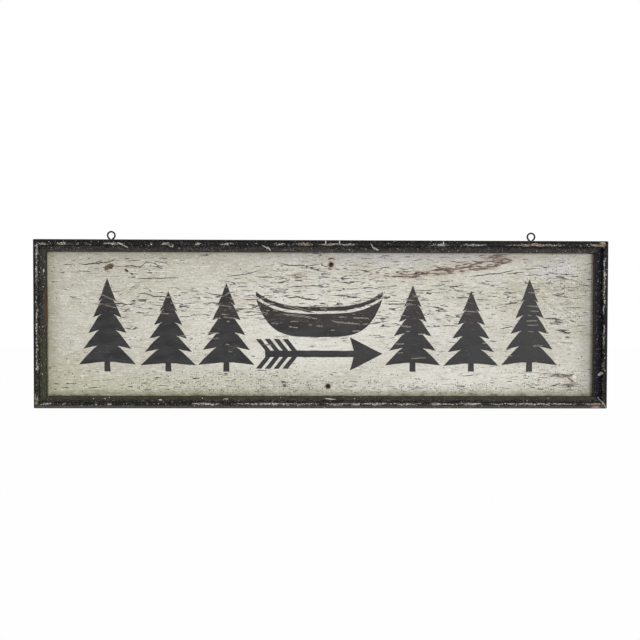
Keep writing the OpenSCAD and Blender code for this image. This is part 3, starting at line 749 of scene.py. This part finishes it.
def moulding_paint(name, side):
    """Black paint of one side: worn on its crest, dusty on its flat, with painted light and shade.
    """
    look, finish = SIDES[side], bpy.context.scene.sign_finish
    tint, dust_light_and_shade, wall, rim = (paint(*look[part]) for part in ("tint", "dust_light_and_shade", "wall", "rim"))
    crest = look["crest"]
    material, s, place = new_material(name)
    x, y, z = s.parts(place)
    along, across = (x, z) if side in ("top", "bottom") else (z, x)
    inward = s.line(across, look["turn"], look["outer"])
    behind = s.minus(y, CREST)
    run = s.joined(along, s.plus(behind, look["apart"]), inward)
    fibres, _, rings = s.use(wood_grain, run, Amount=0.5)
    tone = s.cloud(run, 60.0, 5.0, 0.7, stretch=(1, 3, 3))
    fine = s.cloud(run, 380.0, 2.0, 0.6, stretch=(1, 1.6, 1.6))
    facing = s.step(behind, *FACING)

    # The coat, specked and dirty, with the painted light and shade of its side, before it is worn
    dusted = s.times(s.step(fine, 0.5, 0.72, 0, look["speck"]), s.line(facing, 0.8, 0.2))
    flat = s.times(s.step(inward, *FLAT_BEGINS), s.step(behind, *FLAT_LEVEL))
    inner = s.times(s.step(inward, *LIP), s.step(behind, look["deep"], look["deep"] + WALL_FADE))
    inside = s.times(s.step(inward, *BEAD_INSIDE), s.step(behind, *BEAD_LEVEL))
    outside = s.times(s.step(inward, *BEAD_OUTSIDE), s.step(behind, *SIDE_LEVEL))
    green, brown = [], []
    if side == "left":
        low = s.step(s.plus(along, s.times(tone, 0.1)), 0.30, 0.16, 0, 0.5)
        streak = s.times(s.spot(run, *BROWN_STREAK), tone)
        green = [(low, "green_dust")]
        brown = [(s.step(streak, 0.1, 0.35, 0, 0.75), "brown_streak")]
    colour = s.coats(
        finish.frame_black,
        # the side's tint; the darker blue-black tint of the right side is painted shade
        (s.step(tone, 0.36, 0.66), tint),
        (dusted, s.blend(0.35, tint, finish.rubbed)),
        (s.step(fine, 0.5, 0.3, 0, 0.6), "deep_black"),
        *green,
        # the flat: dusty, with painted light on the bottom and the left and painted shade on the
        # right
        (s.times(flat, s.step(tone, 0.3, 0.7, 0.35, 0.9)), dust_light_and_shade),
        # the inner wall: painted light on the left, olive grime on the bottom
        (s.times(inner, s.step(fibres, 0.2, 0.7, 0.5, 1.0)), wall),
        *brown,
        (inside, "bead_shade", 0.6),
        # painted shade on the outer edge, near black on the top and the sides; a paler grey on the
        # bottom
        (outside, rim, look["dark"]))

    # The worn band wanders along the crest, with a bright thread in its middle here and there
    wander = s.line(s.cloud(run, 50.0, 3.0, stretch=(1, 0, 0)), 2 * WANDER, -WANDER)
    aside = s.off(s.plus(inward, wander), crest)
    front = s.step(behind, *CREST_FRONT)
    stretches = [s.spot(run, where, crest, reach, CREST_REACH)
                 for where, reach, *_ in WORN[side]]
    much, bare = (s.strongest(*[s.times(mask, row[k]) for mask, row in zip(stretches, WORN[side])])
                  for k in (2, 3))
    band = s.times(s.step(aside, *BAND), front)
    share = s.times(band, s.line(much, 0.62, 0.2 * look["rub"]))
    share = s.times(share, finish.wear * 2)
    chips = s.use(patches, run, Scale=205.0, Stretch=2.0, Share=share, Edge=0.02)
    crumbs = s.use(speckle, run, Scale=330.0, Share=s.line(share, 0.5, s.times(facing, 0.025)))
    threads = s.spots(run, [(where, crest, reach, CREST_REACH) for where, reach in THREADS[side]])
    thread = s.times(s.step(aside, *THREAD), s.step(threads, 0.0, 0.3))
    thread = s.times(thread, s.step(s.cloud(run, 190.0, 3.0, 0.6), 0.42, 0.47))
    still_black = s.step(s.cloud(run, 310.0, 2.0, 0.7, stretch=(1, 1.5, 1.5)), 0.51, 0.54)
    rubs = s.strongest(chips["Patch"], s.times(thread, front))
    rubs = s.strongest(s.times(rubs, s.line(still_black, -0.9, 1.0)), crumbs["Dots"])

    # Bare corners, nicked edges, scratches, and an outer side scuffed down to its back arris
    corners = s.ovals(place, BARE_CORNERS, 0.8)
    bare = s.strongest(s.step(bare, 0.1, 0.6), corners)
    wood = s.blend(s.step(tone, 0.35, 0.65), finish.bare, "pale_wood")
    rubbed = s.coats(finish.rubbed, (s.step(fine, 0.35, 0.65), "bright_rub"),
                     (bare, wood, 0.75))
    worn_off = s.use(patches, run, Scale=90.0, Stretch=2.0, Share=s.times(corners, 0.62), Edge=0.03)
    edges = s.strongest(s.times(s.step(s.off(inward, ARRIS), *ARRIS_NICKS), 0.4),
                        s.times(s.step(s.off(inward, MOULDING), *LIP_NICKS), 0.4),
                        s.line(facing, 0.2, 0.06))
    nicks = s.use(patches, run, Scale=330.0, Stretch=1.5, Share=s.times(edges, 0.5), Edge=0.02)
    ragged = s.times(facing, s.line(fine, 0.8, -0.4))
    scratches = s.step(s.plus(s.spots(place, SCRATCHES), ragged), 0.1, 0.25)
    scuffs = s.use(patches, run, Scale=26.0, Stretch=6.0,
                   Share=s.times(s.step(behind, *SHOULDER), 0.46))
    back_off = s.use(patches, run, Scale=55.0, Stretch=3.0, Edge=0.03,
                     Share=s.times(s.step(behind, *BACK_ARRIS), 0.72))
    back = s.coats(finish.pine, (rings, "back_ring"),
                   (s.step(tone, 0.5, 0.7, 0, 0.6), "back_stain"))
    colour = s.coats(
        colour,
        (chips["Halo"], s.blend(0.5, tint, rubbed), 0.3),
        (rubs, rubbed, 0.95),
        (worn_off["Patch"], wood),
        (nicks["Patch"], rubbed, 0.8),
        (scratches, rubbed, 0.95),
        (scuffs["Patch"], "scuff", 0.55),
        (back_off["Patch"], wood),
        (s.step(y, BACK - 0.0012, BACK - 0.0004), back))
    height = s.total(s.times(tone, 0.8), (rubs, -0.7), (fibres, 0.4), (nicks["Patch"], -0.5))
    finish_material(s, colour, s.step(rubs, 0.0, 1.0, 0.6, 0.85), height, 0.0006, specular=0.1)
    return material


def rusty(name, tone, share, metal):
    """Old iron: dark metal with rust in patches."""
    finish = bpy.context.scene.sign_finish
    material, s, place = new_material(name)
    spread = s.use(patches, place, Scale=260.0, Stretch=1.0, Share=share)
    halo, patch = spread["Halo"], spread["Patch"]
    fine = s.cloud(place, 900.0, 4.0, 0.65)
    rust = s.blend(s.step(fine, 0.35, 0.7), finish.rust, "bright_rust")
    colour = s.coats(tone, (halo, s.blend(0.5, tone, rust)), (patch, rust))
    metallic = metal if metal == RUST_METAL else s.step(halo, 0.0, 1.0, metal, RUST_METAL)
    height = s.total(s.times(fine, 0.5), (patch, 0.6))
    finish_material(s, colour, s.step(patch, 0.0, 1.0, 0.42, 0.82), height, 0.0002, metallic)
    return material


def ready(name, make, *values):
    """The material of that name, made on its first use."""
    return bpy.data.materials.get(name) or make(name, *values)


# Modelling

def only(obj):
    """Deselects everything and makes one object the active one."""
    bpy.ops.object.select_all(action="DESELECT")
    obj.select_set(True)
    bpy.context.view_layer.objects.active = obj


def dress(obj, material):
    obj.data.materials.clear()
    obj.data.materials.append(material)


def sheet(name, outlines, back, front):
    """A closed sheet in the plane of the face. An outline inside another is an opening."""
    curve = bpy.data.curves.new(name, "CURVE")
    curve.dimensions = "2D"
    curve.fill_mode = "BOTH"
    curve.extrude = (back - front) / 2
    for outline in outlines:
        line = curve.splines.new("POLY")
        line.points.add(len(outline) - 1)
        line.points.foreach_set("co", [value for x, z in outline for value in (x, z, 0, 1)])
        line.use_cyclic_u = True
    obj = bpy.data.objects.new(name, curve)
    bpy.context.scene.collection.objects.link(obj)
    only(obj)
    bpy.ops.object.convert(target="MESH")
    obj = bpy.context.view_layer.objects.active
    obj.rotation_euler = (pi / 2, 0, 0)
    obj.location = (0, (front + back) / 2, 0)
    bpy.ops.object.transform_apply(location=True, rotation=True, scale=True)
    bpy.ops.object.mode_set(mode="EDIT")
    bpy.ops.mesh.select_all(action="SELECT")
    bpy.ops.mesh.remove_doubles(threshold=1e-6)
    bpy.ops.mesh.normals_make_consistent(inside=False)
    bpy.ops.object.mode_set(mode="OBJECT")
    obj.data.name = name
    return obj


def cut(obj, outlines, back, front):
    """Cuts outlines out of a sheet, right through it."""
    cutter = sheet("cutter", outlines, back + OVERSHOOT, front - OVERSHOOT)
    only(obj)
    change = obj.modifiers.new("Splits", "BOOLEAN")
    change.operation = "DIFFERENCE"
    change.solver = "EXACT"
    change.object = cutter
    bpy.ops.object.modifier_apply(modifier=change.name)
    bpy.data.objects.remove(cutter)


def coat(name, outlines, back, front, material, cuts=()):
    """A coat of paint on the face, cut to closed outlines and split where the cuts run."""
    obj = sheet(name, outlines, back, front)
    if cuts:
        cut(obj, cuts, back, front)
    dress(obj, material)
    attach(obj, "sign")


# Step along a brushed edge, how fine its waves are, and what sets its rise apart from its sway
BRUSH_STEP, BRUSH_WAVES, RISE_SEED = 0.004, 60, 60.5


def bumps(x, y, z):
    """Smooth noise at a place, the same on every run."""
    return noise.noise(Vector((x, y, z)))


def along(path, step, least=2):
    """Places at even steps along a broken line, with at least so many to each of its parts."""
    places = []
    for (x0, z0), (x1, z1) in zip(path, path[1:]):
        count = max(least, round(hypot(x1 - x0, z1 - z0) / step))
        places += [(x0 + (x1 - x0) * k / count, z0 + (z1 - z0) * k / count) for k in range(count)]
    return places + [path[-1]]


def brushed(outline, wobble, seed):
    """The outline with short steps, its edge wandering as a brush does."""
    drawn = []
    for x, z in along([*outline, outline[0]], BRUSH_STEP, 1)[:-1]:
        shifts = [bumps(x * BRUSH_WAVES, z * BRUSH_WAVES, seed + apart) for apart in (0, RISE_SEED)]
        drawn.append((x + shifts[0] * wobble, z + shifts[1] * wobble))
    return drawn


def mirrored(right_side, x, foot):
    """A closed outline round an upright middle line, from its right side, foot first."""
    left_side = [(-dx, dz) for dx, dz in reversed(right_side) if dx > 0]
    return [(x + dx, foot + dz) for dx, dz in right_side + left_side]


# A bough, from the trunk out and back: shares of its reach, and of the rise to the next tier
BOUGH = ((0.42, 0.04), (1.0, -0.16), (0.78, 0.3), (0.46, 0.9))


def pine(x, foot, height, width, boughs):
    """Outline of a pine: a trunk, drooping boughs in tiers and a pointed top."""
    trunk = height * 0.1
    side = [(width * 0.055, 0.0), (width * 0.05, trunk)]
    rise = (height - trunk) / (boughs + 0.35)
    for k in range(boughs):
        reach = width / 2 * (1 - k / (boughs + 0.4)) ** 0.85
        low = trunk + rise * k
        side += [(reach * out, low + rise * up) for out, up in BOUGH]
    side[2] = (width * 0.12, trunk)
    side[-2:] = [(reach * 0.62, low + rise * 0.35), (reach * 0.22, low + rise)]
    return mirrored(side + [(0.0, height)], x, foot)


def circle(x, z, radius, count=40):
    turns = [2 * pi * k / count for k in range(count)]
    return [(x + radius * cos(turn), z + radius * sin(turn)) for turn in turns]


def flake(x, z, reach_x, reach_z, slope, seed, count=48):
    """Ragged outline of a place where the paint has flaked off."""
    turn = radians(slope)
    outline = []
    for k in range(count):
        a = 2 * pi * k / count
        rim = 1 + 0.45 * bumps(2.2 * cos(a), 2.2 * sin(a), seed)
        rim += 0.5 * bumps(6 * cos(a), 6 * sin(a), seed + 5)
        dx, dz = reach_x * rim * cos(a), reach_z * rim * sin(a)
        outline.append((x + dx * cos(turn) - dz * sin(turn), z + dx * sin(turn) + dz * cos(turn)))
    return outline


# Step along a split, and half the height of its thinnest place
SPLIT_STEP, THINNEST = 0.0022, 0.00006


def split(path, width, seed, bed=None, ragged=0.5, spare=0.0):
    """Outline of a split along a path. It sways with the grain and closes at both its ends."""
    places = along(path, SPLIT_STEP)
    bed = seed if bed is None else bed
    upper, lower = [], []
    for k, (x, z) in enumerate(places):
        t = k / (len(places) - 1)
        close = min(1, 5 * t, 5 * (1 - t))
        sway = 0.0008 * bumps(x * 60, bed, 0) + 0.0006 * bumps(x * 190, bed, 5)
        wide = width / 2 * close * (1 + 0.7 * bumps(x * 230, seed, 9)) + spare
        nicks = [ragged * width * close * max(0, bumps(x * 430, seed, layer)) for layer in (13, 17)]
        upper.append((x, z + sway + max(wide, THINNEST) + nicks[0]))
        lower.append((x, z + sway - max(wide, THINNEST) - nicks[1]))
    return upper + lower[::-1]


def strands(x0, z0, x1, z1, height, count, draw):
    """Paths and width of the strands of a torn place, side by side and of uneven length."""
    paths = []
    for k in range(count):
        up = height * ((k + 0.5) / count - 0.5)
        start, end = draw.uniform(0, 0.3), draw.uniform(0.7, 1)
        paths.append(((x0 + (x1 - x0) * start, z0 + (z1 - z0) * start + up),
                      (x0 + (x1 - x0) * end, z0 + (z1 - z0) * end + up)))
    return paths, height / count * 0.4


# Size of the cells that keep scattered splits apart
CELL = 0.0042


def cells_of(path, grow=0):
    """Cells of a coarse grid that a path passes, with a border of more cells round them."""
    passed = {(round(x / CELL), round(z / CELL)) for x, z in along(path, CELL / 3)}
    reach = range(-grow, grow + 1)
    return {(i + di, j + dj) for i, j in passed for di in reach for dj in reach}


def scattered(taken, draw):
    """Short splits strewn over the crackled zones, clear of the cells already taken."""
    found = []
    for x, z, reach_x, reach_z, slope, count in SCATTERED:
        for _ in range(count * 4):
            turn, out = draw.uniform(0, 2 * pi), draw.uniform(0, 1) ** 0.6
            mid = (x + reach_x * out * cos(turn), z + reach_z * out * sin(turn))
            half, rise = draw.uniform(0.003, 0.016), radians(slope + draw.uniform(-5, 5))
            path = [(mid[0] + side * half * cos(rise), mid[1] + side * half * sin(rise))
                    for side in (-1, 1)]
            inside = all(abs(px) < OPENING_X - 0.006 for px, _ in path) and all(
                OPENING_LOW + 0.005 < pz < OPENING_HIGH - 0.005 for _, pz in path)
            if count and inside and not cells_of(path) & taken:
                taken |= cells_of(path, 1)
                found.append((draw.uniform(0.0006, 0.0014), *path))
                count -= 1
    return found


def face_splits():
    """Every split as path, width and seed, then the torn strands with the seed of their bed too."""
    draw = random.Random(7)
    torn = [strands(*place, draw) for place in TORN]
    blots = [((x - reach, z), (x + reach, z)) for x, z, reach, _, _ in FLAKES]
    blots += [((x - CELL, z), (x + CELL, z)) for x, z in (UPPER_SCREW, LOWER_SCREW)]
    taken = set()
    torn_paths = [path for paths, _ in torn for path in paths]
    for path in [path for _, *path in SPLITS] + torn_paths + blots:
        taken |= cells_of(path, 1)
    found = [*SPLITS, *scattered(taken, draw)]
    cuts = [(path, width, seed) for seed, (width, *path) in enumerate(found)]
    beds = [(path, width, 500 + 10 * bed + k, 700 + bed)
            for bed, (paths, width) in enumerate(torn) for k, path in enumerate(paths)]
    return cuts, beds


class SIGN_OT_face(Operator):
    """Cream paint over the face of the board, with flakes gone and openings at the screws"""

    bl_idname = "sign.face"
    bl_label = "Painted Face"

    def execute(self, context):
        coats = context.scene.sign_coats
        right, low, high = OPENING_X - COAT_GAP, OPENING_LOW + COAT_GAP, OPENING_HIGH - COAT_GAP
        rim = [(-right, low), (right, low), (right, high), (-right, high)]
        openings = [circle(x, z, SCREW_OPENING) for x, z in (UPPER_SCREW, LOWER_SCREW)]
        cuts, beds = face_splits()
        openings += [split(path, width, seed) for path, width, seed in cuts]
        openings += [split(path, width, seed, bed, ragged=0.3) for path, width, seed, bed in beds]
        openings += [flake(*place, 90 + seed) for seed, place in enumerate(FLAKES)]
        material = ready("aged_cream_paint", cream_paint)
        front = FACE - coats.cream_film
        coat("cream_face", [rim], FACE, front, material, openings)
        pine_chip = context.scene.sign_finish.pine
        wood = ready("board_wood", raw_wood, pine_chip, "board_rings", False, True)
        dress(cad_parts["board"], wood)
        return {"FINISHED"}


# Groves: name, seed of their edges, then the middle of each pine and its share of the height
GROVES = (("pines_left", 1, ((-0.459, 1.0), (-0.329, 0.86), (-0.205, 0.95))),
          ("pines_right", 9, ((0.195, 0.93), (0.321, 0.87), (0.447, 1.0))))


class SIGN_OT_shapes(Operator):
    """Pines, a canoe and an arrow in black paint over the cream"""

    bl_idname = "sign.shapes"
    bl_label = "Painted Shapes"

    def execute(self, context):
        coats = context.scene.sign_coats
        back = FACE - coats.cream_film
        front = back - coats.black_film
        material = ready("shape_black_paint", shape_paint)
        cuts, _ = face_splits()

        def shape(name, outlines, seed):
            drawn = [brushed(line, coats.wobble, seed + k) for k, line in enumerate(outlines)]
            low, high = (pick(z for line in drawn for _, z in line) for pick in (min, max))
            left, right = (pick(x for line in drawn for x, _ in line) for pick in (min, max))
            crossing = [split(path, width * 1.2, seed, spare=0.0003) for path, width, seed in cuts
                        if any(left < x < right and low < z < high for x, z in path)]
            coat(name, drawn, back, front, material, crossing)

        tall, foot = coats.shape_height, coats.foot
        for name, seed, pines in GROVES:
            shape(name, [pine(x, foot, tall * h, coats.tree_width * (0.9 + 0.1 * h), coats.boughs)
                         for x, h in pines], seed)
        shape("canoe", self.canoe(coats), 20)
        shape("arrow", [self.arrow(coats)], 30)
        return {"FINISHED"}

    def canoe(self, coats):
        """Hull with raised stems, and the gunwale as a line of its own above it."""
        half, x, z = coats.canoe_length / 2, -0.006, coats.foot + coats.shape_height * 0.62
        steps = [k / 20 - 1 for k in range(41)]
        sheer = [(t * half, 0.032 * abs(t) ** 3.2) for t in steps]
        keel = [(t * half * 0.985, 0.03 * abs(t) ** 5 - 0.05 * (1 - abs(t) ** 3.4) ** 0.7)
                for t in steps]
        hull = [(x + dx, z + dz) for dx, dz in sheer + keel[-2:0:-1]]
        rail = [(x + dx, z + dz + 0.006) for dx, dz in sheer]
        rail += [(x + dx, z + dz + 0.015) for dx, dz in reversed(sheer)]
        return [hull, rail]

    def arrow(self, coats):
        """Arrow that flies to the right: feathers, shaft and head."""
        half, shaft, z = coats.arrow_length / 2, 0.007, coats.foot + coats.shape_height * 0.19
        top = []
        for k in range(4):
            x = -half + 0.02 + k * 0.019
            top += [(x, shaft), (x - 0.02, 0.032), (x - 0.0085, 0.032), (x + 0.0115, shaft)]
        top += [(half - 0.062, shaft), (half - 0.07, 0.036), (half, 0.0)]
        low = [(dx, -dz) for dx, dz in reversed(top[:-1])]
        return [(dx - 0.006, z + dz) for dx, dz in top + low]


class SIGN_OT_moulding(Operator):
    """Worn black paint on the four sides of the moulding"""

    bl_idname = "sign.moulding"
    bl_label = "Moulding"

    def execute(self, context):
        for side in SIDES:
            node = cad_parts[side + ("_rail" if side in ("top", "bottom") else "_stile")]
            dress(node, ready("black_paint_" + side, moulding_paint, side))
        return {"FINISHED"}


class SIGN_OT_batten(Operator):
    """Bare pine batten behind the board"""

    bl_idname = "sign.batten"
    bl_label = "Batten"

    def execute(self, context):
        wood = ready("batten_wood", raw_wood, "batten_wood", "batten_rings", True)
        dress(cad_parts["batten"], wood)
        return {"FINISHED"}


class SIGN_OT_fasteners(Operator):
    """Rusty batten screws and nails"""

    bl_idname = "sign.fasteners"
    bl_label = "Screws and Nails"

    def execute(self, context):
        rust = ready("screw_rust", rusty, "dark_iron", 0.35, 0.2)
        for name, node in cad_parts.items():
            if name.endswith(("_nails", "_batten_screw")):
                dress(node, rust)
        return {"FINISHED"}


class SIGN_OT_eyes(Operator):
    """Dark iron screw eyes that turn in the top rail"""

    bl_idname = "sign.eyes"
    bl_label = "Screw Eyes"

    def execute(self, context):
        iron = ready("eye_iron", rusty, context.scene.sign_finish.iron, 0.3, RUST_METAL)
        for side in ("left", "right"):
            dress(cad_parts[side + "_screw_eye"], iron)
        return {"FINISHED"}


# Share of plain white in the floor as the camera sees it. The rest keeps the sign's shadow.
FLOOR_GLOW = 0.985
# How wide the lamps' light spreads
LAMP_SPREAD = radians(30)


class SIGN_OT_stage(Operator):
    """Camera at the sign's own viewing angle, soft lamps, a pale floor and a white surround"""

    bl_idname = "sign.stage"
    bl_label = "Stage"

    def execute(self, context):
        stage = context.scene.sign_stage
        self.camera(context, stage)
        self.surround(context, stage)
        self.floor(stage)
        self.lamp(context, "key_lamp", stage.key, (radians(82), 0, radians(30)))
        self.lamp(context, "back_lamp", stage.back, (radians(-75), 0, radians(-24)))
        context.scene.view_settings.view_transform = "Standard"
        return {"FINISHED"}

    def lamp(self, context, name, strength, turn):
        bpy.ops.object.light_add(type="SUN", rotation=turn)
        lamp = context.view_layer.objects.active
        lamp.name = name
        lamp.data.energy = strength
        lamp.data.angle = LAMP_SPREAD

    def camera(self, context, stage):
        bpy.ops.object.camera_add(location=(stage.camera_x, stage.camera_y, stage.camera_z))
        camera = context.view_layer.objects.active
        camera.name = "sign_camera"
        camera.data.sensor_width = 36
        camera.data.lens = stage.lens
        camera.data.clip_start = 0.01
        aim = Euler((pi / 2 + stage.pitch, 0, -stage.yaw)).to_quaternion()
        camera.rotation_euler = (aim @ Quaternion((0, 0, 1), stage.roll)).to_euler()
        context.scene.camera = camera

    def surround(self, context, stage):
        world = bpy.data.worlds.new("white_surround")
        context.scene.world = world
        s = fresh_nodes(world)
        path = s.add("LightPath").outputs
        seen = s.strongest(path["Is Camera Ray"], path["Is Glossy Ray"],
                           path["Is Transmission Ray"])
        strength = s.add("MapRange", {0: seen, 3: stage.ambient, 4: 1.0}).outputs[0]
        light = s.add("Background", {"Color": (1, 1, 1), "Strength": strength})
        s.add("OutputWorld", {"Surface": light.outputs[0]})
        s.lay_out()

    def floor(self, stage):
        bpy.ops.mesh.primitive_plane_add(size=30, location=(0, 0, -stage.floor_drop))
        floor = bpy.context.view_layer.objects.active
        floor.name = "floor"
        material = bpy.data.materials.new("pale_floor")
        s = fresh_nodes(material)
        path = s.add("LightPath").outputs
        glow = s.times(s.strongest(path["Is Camera Ray"], path["Is Glossy Ray"]), FLOOR_GLOW)
        matt = s.add("BsdfDiffuse", {"Color": "pale_floor"})
        white = s.add("Emission", {"Color": (1, 1, 1), "Strength": 1.0})
        mixed = s.add("MixShader", {0: glow, 1: matt.outputs[0], 2: white.outputs[0]})
        s.add("OutputMaterial", {"Surface": mixed.outputs[0]})
        s.lay_out()
        floor.data.materials.append(material)


class SIGN_PT_panel(Panel):
    """Shows the settings of the finish, the coats and the stage, and a button for each step"""

    bl_label = "Hanging Sign"
    bl_idname = "SIGN_PT_panel"
    bl_space_type = "VIEW_3D"
    bl_region_type = "UI"
    bl_category = "Sign"

    def draw(self, context):
        scene = context.scene
        for title, settings in (("Finish", scene.sign_finish), ("Coats", scene.sign_coats),
                                ("Stage", scene.sign_stage)):
            box = self.layout.box()
            box.label(text=title)
            for name in settings.bl_rna.properties.keys():
                if name not in ("rna_type", "name"):
                    box.prop(settings, name)
        for operator in OPERATORS:
            self.layout.operator(operator.bl_idname)


OPERATORS = (SIGN_OT_face, SIGN_OT_shapes, SIGN_OT_moulding, SIGN_OT_batten, SIGN_OT_fasteners,
             SIGN_OT_eyes, SIGN_OT_stage)
CLASSES = (SignFinish, SignCoats, SignStage, *OPERATORS, SIGN_PT_panel)


def register():
    for cls in CLASSES:
        bpy.utils.register_class(cls)
    bpy.types.Scene.sign_finish = PointerProperty(type=SignFinish)
    bpy.types.Scene.sign_coats = PointerProperty(type=SignCoats)
    bpy.types.Scene.sign_stage = PointerProperty(type=SignStage)


def unregister():
    del bpy.types.Scene.sign_stage
    del bpy.types.Scene.sign_coats
    del bpy.types.Scene.sign_finish
    for cls in reversed(CLASSES):
        bpy.utils.unregister_class(cls)


def main():
    register()
    bpy.ops.sign.face()
    bpy.ops.sign.shapes()
    bpy.ops.sign.moulding()
    bpy.ops.sign.batten()
    bpy.ops.sign.fasteners()
    bpy.ops.sign.eyes()
    bpy.ops.sign.stage()


if __name__ == "__main__":
    main()
